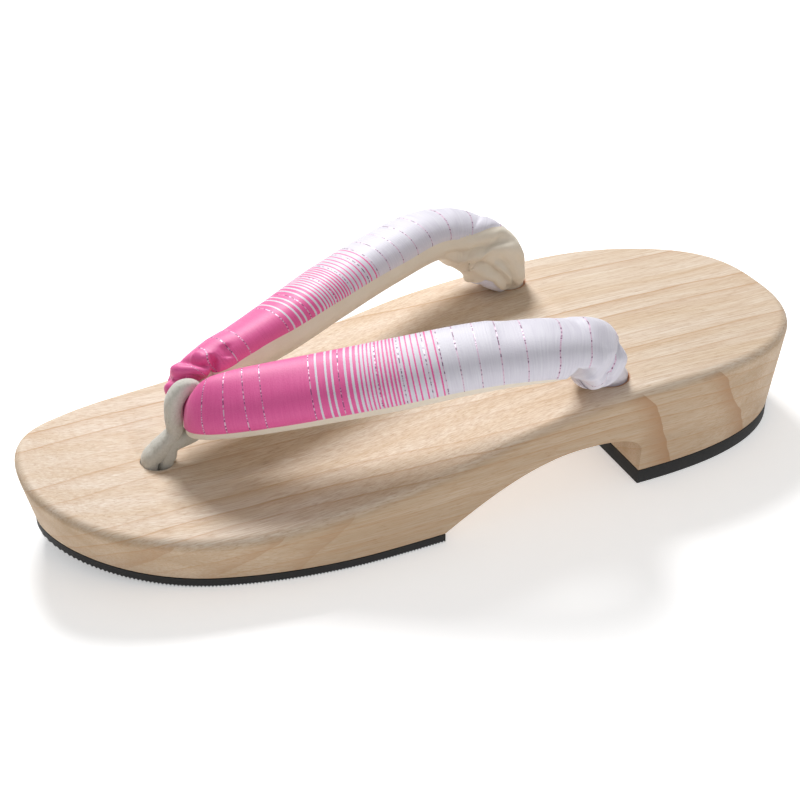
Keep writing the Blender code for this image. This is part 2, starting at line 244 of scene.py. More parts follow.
def half_outline(front_width, heel_width, toe_start, toe, heel, heel_end, fine=36):
    """One long side from the toe's tip to the heel's. toe and heel are a length and a power."""
    points = []
    for step in range(fine):
        turn = math.pi / 2 * step / fine
        along = toe_start + toe[0] * (1 - math.cos(turn) ** (2 / toe[1]))
        points.append((along, front_width / 2 * math.sin(turn) ** (2 / toe[1])))
    start, end = toe_start + toe[0], heel_end - heel[0]
    for step in range(fine + 1):
        share = step / fine
        width = front_width + (heel_width - front_width) * eased(share)
        points.append((start + (end - start) * share, width / 2))
    for step in range(fine - 1, -1, -1):
        turn = math.pi / 2 * step / fine
        along = heel_end - heel[0] * (1 - math.cos(turn) ** (2 / heel[1]))
        points.append((along, heel_width / 2 * math.sin(turn) ** (2 / heel[1])))
    return [(x_at(along), out) for along, out in points]


def outline_ring(half, inset=0.0):
    """The whole outline, moved inwards along its normals."""
    ring = half + [(x, -out) for x, out in reversed(half[1:-1])]
    moved = []
    for i, (x, y) in enumerate(ring):
        ahead, behind = ring[(i + 1) % len(ring)], ring[i - 1]
        run = Vector((ahead[0] - behind[0], ahead[1] - behind[1])).normalized()
        moved.append((x - run.y * inset, y + run.x * inset))
    return moved


# front width, heel width, where the toe starts, the toe's and the heel's length and power, heel's end
DECK_SHAPE = (0.0920, 0.0872, 0.0, (0.089, 2.39), (0.0676, 2.54), LENGTH)
SOLE_SHAPE = (0.0884, 0.0840, SOLE_TOE_INSET, (0.085, 1.89), (0.0676, 2.54), LENGTH - 0.0026)
DECK_HALF = half_outline(*DECK_SHAPE)
SOLE_HALF = half_outline(*SOLE_SHAPE)
print("points round the deck:", len(outline_ring(DECK_HALF)))

# %% [markdown]
# ## The wooden base
# A maker saws the blank, cuts the arch, drills three holes and sands the edges. The same steps work
# here: the blank is a loft of outlines with the deck's round edge, the arch and the holes are cut
# with Booleans, and a small bevel stands for the sanding of every other edge. Both caps are closed
# with rungs straight across, because the deck is straight from side to side.

# %% Blank of the wooden base
ARRIS_RADIUS = 0.003
ARRIS_STEPS = 8


def close_with_rungs(bm, loop):
    """Bridges the near half of an outline to its far half, and closes the two tips."""
    verts, edges = loop
    middle = len(verts) // 2
    tips = (verts[0], verts[middle])
    across = [edge for edge in edges if not any(vertex in tips for vertex in edge.verts)]
    bmesh.ops.bridge_loops(bm, edges=across)
    for tip, one, other in ((0, 1, -1), (middle, middle - 1, middle + 1)):
        bmesh.ops.contextual_create(bm, geom=[verts[tip], verts[one], verts[other]])


def blank_sections():
    sections = [[(x, y, wood_underside(x)) for x, y in outline_ring(SOLE_HALF)]]
    for step in range(ARRIS_STEPS + 1):
        turn = math.pi / 2 * step / ARRIS_STEPS
        inset = ARRIS_RADIUS * (1 - math.cos(turn))
        drop = ARRIS_RADIUS * (1 - math.sin(turn))
        sections.append([(x, y, deck_height(x) - drop) for x, y in outline_ring(DECK_HALF, inset)])
    return sections


bm = bmesh.new()
blank_loops = loft(bm, blank_sections())
close_with_rungs(bm, blank_loops[0])
close_with_rungs(bm, blank_loops[-1])
wood_piece = finished_piece(bm, "carved_wood")
print("blank points:", len(wood_piece.data.vertices))

# %% [markdown]
# The arch is drawn from the side and extruded across the blank: it leaves the front tread at a slant,
# runs level and turns down into the heel block with a tight corner. The holes are upright drills.

# %% Cutters for the arch and the holes
ARCH_HEIGHT = 0.0190
ARCH_CORNER = 0.0052
# how far the cutters reach past the wood to each side and below it
REACH_ASIDE = 0.06
REACH_BELOW = 0.01
DRILL_LENGTH = 0.1
# from the toe, out from the middle, radius
FRONT_HOLE = (0.0380, 0.0, 0.0048)
REAR_HOLE = (0.1648, 0.0318, 0.0055)
FAR_HOLE = (REAR_HOLE[0], -REAR_HOLE[1], REAR_HOLE[2])


def arch_outline():
    """Points of the arch as (from toe, height), along three curved runs and two straight ones."""
    crown = (FRONT_TREAD_END + HEEL_BLOCK_START * 2) / 3
    rise = crown - FRONT_TREAD_END
    start = FRONT_RUBBER + GLUE_GAP
    shoulder = ARCH_HEIGHT - ARCH_CORNER * 0.35
    end = HEEL_BLOCK_START
    runs = (
        ((FRONT_TREAD_END, start), (FRONT_TREAD_END + rise * 0.3, start + ARCH_HEIGHT * 0.45),
         (crown - rise * 0.38, ARCH_HEIGHT), (crown, ARCH_HEIGHT)),
        ((crown, ARCH_HEIGHT), (crown + rise * 0.2, ARCH_HEIGHT),
         (end - ARCH_CORNER * 1.5, shoulder + ARCH_CORNER * 0.2),
         (end - ARCH_CORNER * 0.7, shoulder - ARCH_CORNER * 0.15)),
        ((end - ARCH_CORNER * 0.7, shoulder - ARCH_CORNER * 0.15),
         (end - ARCH_CORNER * 0.2, shoulder - ARCH_CORNER * 0.4),
         (end, shoulder - ARCH_CORNER * 0.6), (end, shoulder - ARCH_CORNER)),
    )
    points = []
    for run in runs:
        points += interpolate_bezier(*[Vector(point) for point in run], 24)[:-1]
    points.append(Vector((end, shoulder - ARCH_CORNER)))
    return points + [Vector((place, -REACH_BELOW)) for place in (end, FRONT_TREAD_END)]


bm = bmesh.new()
side = [bm.verts.new((x_at(point.x), -REACH_ASIDE, point.y)) for point in arch_outline()]
face = bmesh.ops.contextual_create(bm, geom=side)["faces"]
pulled = bmesh.ops.extrude_face_region(bm, geom=face)["geom"]
moved = [item for item in pulled if isinstance(item, bmesh.types.BMVert)]
bmesh.ops.translate(bm, verts=moved, vec=(0.0, 2 * REACH_ASIDE, 0.0))
cutters = [mesh_object(bm, "arch_cutter")]
for name, (from_toe, out, radius) in (
    ("front_drill", FRONT_HOLE),
    ("near_drill", REAR_HOLE),
    ("far_drill", FAR_HOLE),
):
    bm = bmesh.new()
    bmesh.ops.create_cone(
        bm, cap_ends=True, segments=64, radius1=radius, radius2=radius, depth=DRILL_LENGTH,
        matrix=Matrix.Translation((x_at(from_toe), out, 0.0)),
    )
    cutters.append(mesh_object(bm, name))
print("cutters:", len(cutters))

# %% Cut and sand the wood
SANDED_EDGE = 0.0005
for tool in cutters:
    cut = wood_piece.modifiers.new(tool.name, "BOOLEAN")
    cut.operation = "DIFFERENCE"
    cut.object = tool
    cut.solver = "EXACT"
apply_modifiers(wood_piece)
for tool in cutters:
    bpy.data.objects.remove(tool)
bevel(wood_piece, SANDED_EDGE, 3, 38)
smooth_shading(wood_piece, 35)

# %% [markdown]
# ## The rubber soles
# Two rubber sheets are glued under the wood. The front one is thin, with fine ribs from side to side
# that show as tiny teeth along its lower edge: the sheet is sliced at every quarter of a rib, and
# half of the cuts are lifted. The heel's sheet is thicker and smooth.

# %% Rubber soles
RIB_PITCH = 0.00095
RIB_DEPTH = 0.00042
TRIMMED_EDGE = 0.0003
# a sheet without ribs needs a cut only every so many quarters of a rib
PLAIN_STEP = 12


def rubber_sheet(name, thickness, cut_at, keep_front, rib_depth):
    """A sheet drawn flat, sliced at the ribs, cut off at the arch and then bent to the sole's curve."""
    ring = outline_ring(SOLE_HALF)
    bm = bmesh.new()
    loops = loft(bm, [[(x, y, level) for x, y in ring] for level in (0.0, thickness)])
    for _, edges in loops:
        bmesh.ops.contextual_create(bm, geom=edges)
    everything = bm.verts[:] + bm.edges[:] + bm.faces[:]
    bmesh.ops.bisect_plane(
        bm, geom=everything, plane_co=(x_at(cut_at), 0, 0), plane_no=(1, 0, 0),
        clear_outer=not keep_front, clear_inner=keep_front,
    )
    bmesh.ops.holes_fill(bm, edges=bm.edges, sides=0)
    quarter = RIB_PITCH / 4
    first, last = min(v.co.x for v in bm.verts), max(v.co.x for v in bm.verts)
    cuts = [first + quarter * k for k in range(1, int((last - first) / quarter))]
    if not rib_depth:
        cuts = cuts[::PLAIN_STEP]
    for x in cuts:
        bmesh.ops.bisect_plane(
            bm, geom=bm.verts[:] + bm.edges[:] + bm.faces[:], plane_co=(x, 0, 0), plane_no=(1, 0, 0)
        )
    for vertex in bm.verts:
        x = vertex.co.x
        phase = round((x - first) / quarter) % 4
        lift = rib_depth if vertex.co.z < thickness / 2 and phase in (2, 3) else 0.0
        vertex.co.z += spring_height(x) + lift
    return finished_piece(bm, name)


front_rubber = rubber_sheet("front_rubber", FRONT_RUBBER, FRONT_TREAD_END, True, RIB_DEPTH)
heel_rubber = rubber_sheet("heel_rubber", HEEL_RUBBER, HEEL_BLOCK_START, False, 0.0)
bevel(heel_rubber, TRIMMED_EDGE, 2, 50)
for piece in (front_rubber, heel_rubber):
    smooth_shading(piece, 30)

# %% [markdown]
# ## The padded strap's route
# The strap is one stuffed cloth tube. Its middle is folded tight in the felt loop, and its two arms
# rise over the foot and turn down into the rear holes. The table of main sections is the model's: how
# far back, out and up, how wide and thick, how much the outer edge leans down, and whether the section
# faces sideways or straight down.

# %% Route of the strap
SIDEWAYS = Vector((0.0, 1.0, 0.0))
STRAP_WIDTH = 0.0220
STRAP_THICKNESS = 0.0150
STRAP_RISE = 0.0240
FOLD_FROM_HOLE = 0.0107
FOLD_HEIGHT = 0.0150
FOLD_WIDTH = 0.0100
FOLD_THICKNESS = 0.0042
HOLE_CLEARANCE = 0.0004
# back, out, up, wide, thick, lean, side, down
STRAP_STATIONS = (
    (0.006, 0.18, 0.73, 0.66, 0.50, 68, 0.60, 0.0),
    (0.036, 0.25, 0.81, 0.79, 0.75, 50, 0.25, 0.0),
    (0.11, 0.355, 0.865, 0.88, 0.93, 30, 0.0, 0.0),
    (0.27, 0.56, 0.93, 0.95, 1.0, 19, 0.0, 0.0),
    (0.44, 0.80, 0.985, 1.0, 1.02, 13, 0.0, 0.0),
    (0.615, 1.01, 0.975, 0.985, 1.01, 10, 0.0, 0.0),
    (0.77, 1.19, 0.90, 0.95, 0.99, 7, 0.0, 0.0),
    (0.87, 1.19, 0.74, 0.93, 0.96, 4, 0.0, 0.0),
    (0.925, 1.11, 0.56, 0.90, 0.96, 2, 0.0, 0.0),
    (0.955, 1.01, 0.37, 0.83, 0.98, 0, 0.0, 0.30),
    (0.972, 0.975, 0.22, 0.74, 1.0, 0, 0.0, 0.70),
    (0.983, 0.98, 0.12, 0.64, 0.93, 0, 0.0, 1.0),
    (0.992, 0.995, 0.054, 0.54, 0.79, 0, 0.0, 1.0),
)


def fold_centre():
    x = x_at(FRONT_HOLE[0] + FOLD_FROM_HOLE)
    return Vector((x, 0.0, deck_height(x) + FOLD_HEIGHT))


def strap_rows():
    """Main sections from the fold down the hole: centre, width, thickness, lean, side and down."""
    fold = fold_centre()
    beside = fold + Vector((0.0, STRAP_WIDTH * 0.15, STRAP_RISE * 0.02))
    rows = [
        (fold, FOLD_WIDTH, FOLD_THICKNESS, 90, 1.0, 0.0),
        (beside, FOLD_WIDTH * 1.1, FOLD_THICKNESS * 1.1, 80, 0.9, 0.0),
    ]
    start = FRONT_HOLE[0] + FOLD_FROM_HOLE
    for back, out, up, wide, thick, *turns in STRAP_STATIONS:
        x = x_at(start + (REAR_HOLE[0] - start) * back)
        centre = Vector((x, REAR_HOLE[1] * out, deck_height(x) + STRAP_RISE * up))
        rows.append((centre, STRAP_WIDTH * wide, STRAP_THICKNESS * thick, *turns))
    x = x_at(REAR_HOLE[0])
    stem = 2 * (REAR_HOLE[2] - HOLE_CLEARANCE)
    for depth in (-0.01, 0.2, 0.42):
        end = Vector((x, REAR_HOLE[1], deck_height(x) - HEEL_HEIGHT * depth))
        rows.append((end, stem, stem, 0, 0.0, 1.0))
    return rows


def between(points, index, share):
    """A place between two points, on a smooth curve through them and their neighbours."""
    before, start = points[max(index - 1, 0)], points[index]
    end, after = points[index + 1], points[min(index + 2, len(points) - 1)]
    weights = (
        -0.5 * share + share**2 - 0.5 * share**3,
        1 - 2.5 * share**2 + 1.5 * share**3,
        0.5 * share + 2 * share**2 - 1.5 * share**3,
        0.5 * share**3 - 0.5 * share**2,
    )
    return sum((p * w for p, w in zip((before, start, end, after), weights)), Vector())


def sampled(rows, steps_at):
    """Rows of a centre and some sizes, filled in between, and the direction of the route at each."""
    centres = [row[0] for row in rows]
    fine = []
    for index in range(len(rows) - 1):
        steps = steps_at(centres, index)
        for step in range(steps):
            share = step / steps
            sizes = [a + (b - a) * share for a, b in zip(rows[index][1:], rows[index + 1][1:])]
            fine.append((between(centres, index, share), *sizes))
    fine.append(rows[-1])
    places = [row[0] for row in fine]
    runs = [ahead - behind for behind, ahead in zip(places[:1] + places, places[1:] + places[-1:])]
    return fine, [run.normalized() for run in runs]


# %% [markdown]
# ## The padded strap
# The top of the strap is striped cloth and its underside is cream velvet. Both seams between them
# wind round the strap where it is folded and where it turns down. Each section of the loft has
# points exactly on the two seams, so the change of cloth is a clean line. Each point remembers how
# far along the strap it is and at which angle round it, and these two numbers place the stripes,
# the weave and the creases.

# %% Sections of the strap
TOP_POINTS = 44
UNDER_POINTS = 20
SECTION_SPACING = 0.0012
FINE_SPACING = 0.0003
OVAL_POWER = 0.85
# along mm, then where the outer seams of the near and far arm and the inner seam lie, in degrees
SEAMS = (
    (0, 78, 78, 250), (6.6, 42, 46, 224), (13.3, 18, 27, 203), (21.3, 3, 9, 186),
    (27.9, 0, 6, 181), (35.7, -3, 4, 178), (50, -6, 2, 177), (72, -9, 0, 177),
    (86.8, -14, -4, 178), (97, -20, -7, 176), (104, -28, -11, 175), (107, -40, -16, 173),
    (110.5, -64, -28, 168), (117.7, -92, -60, 137), (124, -101, -84, 106),
    (129, -104, -120, 96), (131.5, -108, -134, 94), (140, -145, -142, 92),
    (160, -150, -146, 90),
)


def section_angles(along, side):
    """Angles round a section from the outer seam over the top to the inner seam and back below."""
    outer = math.radians(smooth_value(SEAMS, 1000 * along, 1 if side > 0 else 2))
    inner = math.radians(smooth_value(SEAMS, 1000 * along, 3))
    over = (inner - outer) / TOP_POINTS
    under = (2 * math.pi - inner + outer) / UNDER_POINTS
    angles = [outer + over * i for i in range(TOP_POINTS)]
    return angles + [inner + under * i for i in range(UNDER_POINTS)]


def section_frame(run, lean):
    """Directions across the strap, towards its outer edge, and over it."""
    level = run.cross(Vector((0.0, 0.0, 1.0)))
    straight_out = SIDEWAYS - run * run.y
    steep = min(max((-run.z - 0.3) / 0.4, 0.0), 1.0)
    across = level.normalized().lerp(straight_out.normalized(), steep).normalized()
    over = across.cross(run).normalized()
    turn = Matrix.Rotation(math.radians(lean), 3, run)
    return turn @ across, turn @ over


def oval(angle, power):
    wide = math.copysign(abs(math.cos(angle)) ** power, math.cos(angle))
    high = math.copysign(abs(math.sin(angle)) ** power, math.sin(angle))
    return wide, high


def strap_steps(centres, index):
    """Fine steps wherever the strap is bent or creased, and long ones on the plain stretch."""
    spacing = SECTION_SPACING if 5 <= index <= 8 else FINE_SPACING
    return max(3, round((centres[index + 1] - centres[index]).length / spacing))


def strap_sections():
    """Sections along one arm: distance along it, centre, direction, sizes and turns."""
    made = []
    along = 0.0
    sections, runs = sampled(strap_rows(), strap_steps)
    before = sections[0][0]
    for (centre, wide, thick, lean, side, down), run in zip(sections, runs):
        along += (centre - before).length
        before = centre
        run = run.lerp(SIDEWAYS, side).lerp(Vector((0.0, 0.0, -1.0)), down).normalized()
        power = OVAL_POWER + (1.0 - OVAL_POWER) * max(side, down)
        made.append((along, centre, run, wide, thick, lean, power))
    return made


STRAP_SECTIONS = strap_sections()
print("sections on one arm:", len(STRAP_SECTIONS))
print("arm length in mm:", round(1000 * STRAP_SECTIONS[-1][0], 1))

# %% Loft both arms
def loft_arm(bm, side):
    """One arm from the fold down its hole. side is 1 for the near arm and -1 for the far one."""
    layers = [bm.verts.layers.float[name] for name in ("along", "angle", "row", "real_along")]
    loops = []
    for along, centre, run, wide, thick, lean, power in STRAP_SECTIONS:
        across, over = section_frame(run, lean)
        angles = section_angles(along, side)
        points = []
        for angle in angles:
            out, up = oval(angle, power)
            point = centre + across * out * wide / 2 + over * up * thick / 2
            points.append((point.x, point.y * side, point.z))
        loop = section_loop(bm, points)
        for row, (vertex, angle) in enumerate(zip(loop[0], angles)):
            for layer, value in zip(layers, (along, angle, row, along)):
                vertex[layer] = value
        loops.append(loop)
    bridge_all(bm, loops)
    bmesh.ops.contextual_create(bm, geom=loops[-1][1])


bm = bmesh.new()
for name in ("along", "angle", "row", "real_along"):
    bm.verts.layers.float.new(name)
for side in (1, -1):
    loft_arm(bm, side)
strap_piece = finished_piece(bm, "striped_strap")
print("strap points:", len(strap_piece.data.vertices))

# %% [markdown]
# ## Creases in the strap
# A stuffed strap creases where it is bent or squeezed. Each crease here is a soft trough or ridge
# given as a bent line over the surface, with a width and a depth, that fades at both ends.
# The far arm is crumpled beside the toe loop. At the rear both arms are full at the shoulder, then
# roll forward and fold like a fan into their holes. Both seams pull the surface in a little. Where
# slack cloth hangs over the deck, a pull moves it bodily instead of along the surface's normal.

# %% Creases and pulls
CREASE_RADIUS = 9.0
SEAM_PULL = 0.00035
# the notch under the near arm where its roll begins: places (along mm, degrees)
NOTCH = ((108.6, -110), (109.6, -80), (110.4, -55), (110.8, -30), (111.0, -2))
# side (1 near, -1 far, 0 both), half width mm, depth mm, places (along mm, degrees)
CREASES = (
    (-1, 5, 0.8, ((3, 90), (10, 98), (18, 100), (27, 104))),
    (-1, 4.2, 1.3, ((2, 88), (5.5, 94), (8.5, 97), (11.5, 99))),
    (-1, 1.8, 0.8, ((13.6, 118), (13.6, 138), (13, 164))),
    (-1, 1.1, -1.7, ((11.4, 96), (10.8, 130), (10.6, 162), (11.4, 182))),
    (-1, 1.8, 1.1, ((9.5, 98), (8.6, 135), (8.6, 180), (9.8, 206))),
    (-1, 0.9, -2.4, ((15.7, 150), (14.7, 170), (12.9, 188), (10.7, 208), (9.2, 222))),
    (-1, 0.8, -1.7, ((9.4, 74), (7.8, 106), (6.2, 136), (5, 156))),
    (-1, 1.1, 0.7, ((7.2, 82), (6, 108), (4.8, 136))),
    (-1, 0.35, -0.35, ((16.6, 146), (16.9, 166), (16.4, 184))),
    (-1, 0.35, -0.35, ((17.5, 144), (17.9, 164), (17.5, 182))),
    (-1, 0.35, -0.30, ((18.4, 143), (18.9, 162), (18.7, 178))),
    (-1, 0.35, -0.25, ((19.3, 142), (19.9, 160), (19.9, 174))),
    (-1, 1.5, -0.9, ((21, 138), (20.2, 156), (19.4, 172))),
    (1, 7, -0.9, ((90, 118), (102, 118), (114, 110))),
    (1, 3.5, 1.5, ((113, 88), (118, 90), (121, 90), (124, 92))),
    (1, 4.2, -1.3, ((121.5, 62), (126, 64), (131, 70), (137, 70))),
    (-1, 5.5, 1.1, ((108, 90), (114, 94), (120, 98), (126, 114), (131, 130))),
    (-1, 5, 1.8, ((118, 96), (123, 108), (127, 124), (130, 140))),
    (0, 0.9, -1.3, ((121.5, 62), (120.3, 44), (118.6, 12), (118.2, -18), (125.6, -46), (132, -70))),
    (0, 1.7, 0.6, ((124.5, 50), (122.5, 15), (123.5, -12), (129, -38))),
    (0, 1.8, 0.6, ((116, 40), (114.5, 5), (115, -30), (121, -62), (131, -92))),
    (1, 2, -1.8, NOTCH),
    (1, 5, 2.8, ((117, -44), (125, -64), (134, -78), (139.6, -84), (141, -86))),
    (-1, 4, 1.2, ((127, -80), (132, -86), (136, -92), (139.6, -96), (141, -96))),
    (0, 1.3, -2, ((103, 212), (108, 209), (113, 201), (117, 192), (121, 171), (124, 151),
                    (126.6, 128))),
    (0, 2, 1, ((107, 226), (114, 216), (119, 202), (123, 184), (127, 160), (130, 143))),
    (0, 0.9, -1.9, ((118.5, 232), (123, 219), (127, 211), (129.5, 201), (132, 193), (138.8, 193))),
    (0, 1.7, 1.1, ((122, 236), (127, 226), (130.5, 216), (134, 208), (138, 207))),
    (0, 0.9, -1.7, ((127, 182), (129, 175), (132.2, 173), (135, 178), (139, 186))),
    (0, 1.6, 0.8, ((128, 192), (131, 184), (136, 187))),
)
# side, half width mm, mm towards the toe, inwards and up, places
PULLS = (
    (1, 1.7, (0.3, 4.2, 3.4), NOTCH),
    (1, 2.2, (1.6, -1.3, 0.6), ((113.4, -84), (114.2, -62), (115, -40), (115.4, -24))),
    (-1, 6, (2.3, 0.3, -1.9), ((109, -90), (116, -90), (123, -92), (128, -94), (132, -96))),
    (-1, 4, (0.7, 2.9, 0.1), ((130, -104), (134, -114), (138, -124), (140.5, -128))),
)


def line_weight(along, angle, half_width, places):
    """How much a bent line moves one point: 1 on it, less beside it, and less towards its ends."""
    first = places[0][1]
    around = first + math.remainder(math.degrees(angle) - first, 360)
    point = Vector((1000 * along, math.radians(around) * CREASE_RADIUS))
    knots = [Vector((place, math.radians(degrees) * CREASE_RADIUS)) for place, degrees in places]
    nearest, share = 1e9, 0.0
    for index, (start, end) in enumerate(zip(knots, knots[1:])):
        run = end - start
        part = min(max((point - start).dot(run) / run.length_squared, 0.0), 1.0)
        gap = (point - start - run * part).length
        if gap < nearest:
            nearest, share = gap, (index + part) / (len(knots) - 1)
    return math.exp(-((nearest / half_width) ** 2)) * min(1.0, 5 * share, 5 * (1 - share)) ** 0.5


def crease_move(side, along, angle):
    total = 0.0
    for where, half_width, depth, places in CREASES:
        if where not in (0, side):
            continue
        steps = [place for place, _ in places]
        if min(steps) - 3 * half_width < 1000 * along < max(steps) + 3 * half_width:
            total += depth * line_weight(along, angle, half_width, places)
    return total / 1000


def pull_move(side, along, angle):
    """How far the slack cloth moves towards the toe, inwards and up at one point."""
    total = Vector()
    for where, half_width, (ahead, inwards, up), places in PULLS:
        if where in (0, side) and 1000 * along > places[0][0] - 3 * half_width:
            weight = line_weight(along, angle, half_width, places) / 1000
            total += Vector((ahead, -inwards * side, up)) * weight
    return total


def shape_strap(piece):
    mesh = piece.data
    along, angle, row = (mesh.attributes[name].data for name in ("along", "angle", "row"))
    normals = [vertex.normal.copy() for vertex in mesh.vertices]
    deepest = 0.0
    for vertex, normal in zip(mesh.vertices, normals):
        index = vertex.index
        side = 1 if vertex.co.y > 0 else -1
        here = row[index].value
        rows_off = min(here, abs(here - TOP_POINTS), TOP_POINTS + UNDER_POINTS - here)
        move = crease_move(side, along[index].value, angle[index].value)
        move -= SEAM_PULL * math.exp(-((rows_off / 0.9) ** 2))
        deepest = min(deepest, move)
        vertex.co += normal * move + pull_move(side, along[index].value, angle[index].value)
    print("deepest crease in mm:", round(1000 * deepest, 2))


shape_strap(strap_piece)

# %% [markdown]
# The cloth itself has slipped where it is crumpled or bent: on the far arm the stripes next to the
# loop are pushed towards it on the inner side, and at the rear the cloth over the top is drawn back
# round the bend. Moving the remembered distance there moves the stripes.

# %% Slip the cloth beside the loop and at the bends
# beside the loop on the far arm: how far the cloth slips, where, over what spread, and where it ends
SLIP, SLIP_MIDDLE, SLIP_SPREAD, SLIP_END = 0.0034, 0.012, 0.0045, 0.04
# the angle where the inner side begins, and over how many degrees the slip grows
INNER_START, INNER_SPAN = 105, 70
# the same two for the slip over the top, on each arm, and the distance where it starts
NEAR_TOP, FAR_TOP = (30, 95), (15, 80)
BACK_START = 0.094
# along mm, then how far back in mm the cloth has slipped at the side of the near arm, over the top
# of the near arm and over the top of the far arm
BACK_SLIP = (
    (0, 0, 0, 0), (94, 0, 0, 0), (99, 0, 0.6, 0), (106, 0, 3.4, 1.9),
    (112, 0.4, 4.4, 3.9), (118, 0.4, 4.9, 4.4), (126, 0, 4.9, 4.4), (160, 0, 4.9, 4.4),
)
along = strap_piece.data.attributes["along"].data
angle = strap_piece.data.attributes["angle"].data
for vertex in strap_piece.data.vertices:
    place = along[vertex.index].value
    degrees = math.degrees(angle[vertex.index].value)
    start, span = NEAR_TOP if vertex.co.y > 0 else FAR_TOP
    over = eased((degrees - start) / span)
    if place > BACK_START:
        beside, above = 0.0, smooth_value(BACK_SLIP, 1000 * place, 3)
        if vertex.co.y > 0:
            beside, above = (smooth_value(BACK_SLIP, 1000 * place, column) for column in (1, 2))
        along[vertex.index].value = place - (beside + (above - beside) * over) / 1000
    if vertex.co.y > 0 or place > SLIP_END:
        continue
    near_loop = math.exp(-(((place - SLIP_MIDDLE) / SLIP_SPREAD) ** 2))
    along[vertex.index].value = place + SLIP * near_loop * eased((degrees - INNER_START) / INNER_SPAN)

# %% [markdown]
# ## The felt toe loop
# A band of felt goes down into the front hole at both ends and once round the strap's fold. It is
# broad and flat in front, narrower where the two arms squeeze it, and its front leg spreads again
# towards the hole. The rear leg comes back under the strap, and a groove shows between the two legs.

# %% Route of the felt loop
LOOP_REAR_RADIUS = 0.0018
LOOP_DEPTH = 0.010
BAND_HALF_WIDTH = 0.0032
BAND_HALF_THICKNESS = 0.0025
BAND_CLEARANCE = 0.0002
SQUEEZED_HALF_WIDTH = 0.0024
FOOT_HALF_WIDTH = 0.0029
FOOT_HALF_THICKNESS = 0.0021
# back, up, half width, half thickness
LOOP_FRONT_LEG = (
    (0.00, 0.03, 0.0032, 0.0023), (0.26, 0.26, 0.0033, 0.0029), (0.60, 0.56, 0.0025, 0.0022),
)
LOOP_REAR_LEG = (
    (0.31, 0.33, 0.0029, 0.0022), (0.10, 0.14, 0.0034, 0.0027), (0.00, -0.04, 0.0033, 0.0023),
)


def ring_place(fold, turn):
    """The band's middle at one turn of its ring round the fold, with half its width and thickness."""
    angle = math.radians(turn)
    behind = max(-math.cos(angle), 0.0)
    ahead = max(math.cos(angle), 0.0)
    thick = BAND_HALF_THICKNESS + (LOOP_REAR_RADIUS - BAND_HALF_THICKNESS) * behind
    reach = thick + BAND_CLEARANCE
    out = math.cos(angle) * (FOLD_THICKNESS / 2 + reach)
    up = math.sin(angle) * (FOLD_WIDTH / 2 + reach)
    half = SQUEEZED_HALF_WIDTH + (BAND_HALF_WIDTH - SQUEEZED_HALF_WIDTH) * ahead
    half -= (SQUEEZED_HALF_WIDTH - LOOP_REAR_RADIUS) * behind
    return fold + Vector((out, 0.0, up)), half, thick


def loop_route():
    """Points of the band's middle with half its width and thickness, from one end to the other."""
    fold = fold_centre()
    hole_x = x_at(FRONT_HOLE[0])
    hole_z = deck_height(hole_x)
    step = (FRONT_HOLE[2] - HOLE_CLEARANCE) / 2
    legs = []
    for side, leg in ((1, LOOP_FRONT_LEG), (-1, LOOP_REAR_LEG)):
        foot_x = hole_x + step * side
        points = []
        for back, up, half, thick in leg:
            x = foot_x + (fold.x - foot_x) * back
            points.append((Vector((x, 0.0, hole_z + FOLD_HEIGHT * up)), half, thick))
        foot = (Vector((foot_x, 0.0, hole_z - LOOP_DEPTH)), FOOT_HALF_WIDTH, FOOT_HALF_THICKNESS)
        legs.append([foot] + points if side > 0 else points + [foot])
    ring = [ring_place(fold, turn) for turn in range(-10, 271, 40)]
    return legs[0] + ring + legs[1]


# %% Loft the felt loop
LOOP_STEPS = 8
LOOP_POINTS = 36
BAND_POWER = 0.82


def loop_sections():
    sections = []
    fine, runs = sampled(loop_route(), lambda centres, index: LOOP_STEPS)
    for (centre, half_width, half_thickness), run in zip(fine, runs):
        outward = SIDEWAYS.cross(run).normalized()
        points = []
        for step in range(LOOP_POINTS):
            wide, high = oval(2 * math.pi * step / LOOP_POINTS, BAND_POWER)
            points.append(centre + SIDEWAYS * wide * half_width + outward * high * half_thickness)
        sections.append(points)
    return sections


bm = bmesh.new()
loops = loft(bm, loop_sections())
for _, edges in (loops[0], loops[-1]):
    bmesh.ops.contextual_create(bm, geom=edges)
loop_piece = finished_piece(bm, "felt_loop")
smooth_shading(loop_piece, 60)

# %% [markdown]
# ## Helpers for materials
# A material is a small network of nodes. One function adds a node, and short ones after it make the
# kinds that every material needs. Colours are written as they look on a screen, in sRGB hex, and
# one function turns them into the linear values that Blender mixes.


# %% Material helpers
def to_linear(hex_colour):
    channels = []
    for start in (1, 3, 5):
        value = int(hex_colour[start:start + 2], 16) / 255
        channels.append(value / 12.92 if value <= 0.04045 else ((value + 0.055) / 1.055) ** 2.4)
    return (*channels, 1.0)


def new_material(name):
    made = bpy.data.materials.new(name)
    made.use_nodes = True
    return made, made.node_tree, made.node_tree.nodes["Principled BSDF"]


def connect(tree, node, inputs):
    """Gives each of these inputs a number, a colour or the output of another node."""
    for name, value in inputs.items():
        if isinstance(value, bpy.types.NodeSocket):
            tree.links.new(value, node.inputs[name])
        else:
            node.inputs[name].default_value = value


def add_node(tree, kind, inputs=None, **settings):
    node = tree.nodes.new("ShaderNode" + kind)
    for name, value in settings.items():
        setattr(node, name, value)
    connect(tree, node, inputs or {})
    return node


def maths(tree, operation, *values):
    return add_node(tree, "Math", dict(enumerate(values)), operation=operation).outputs[0]


def scaled(tree, value, factor):
    return maths(tree, "MULTIPLY", value, factor)


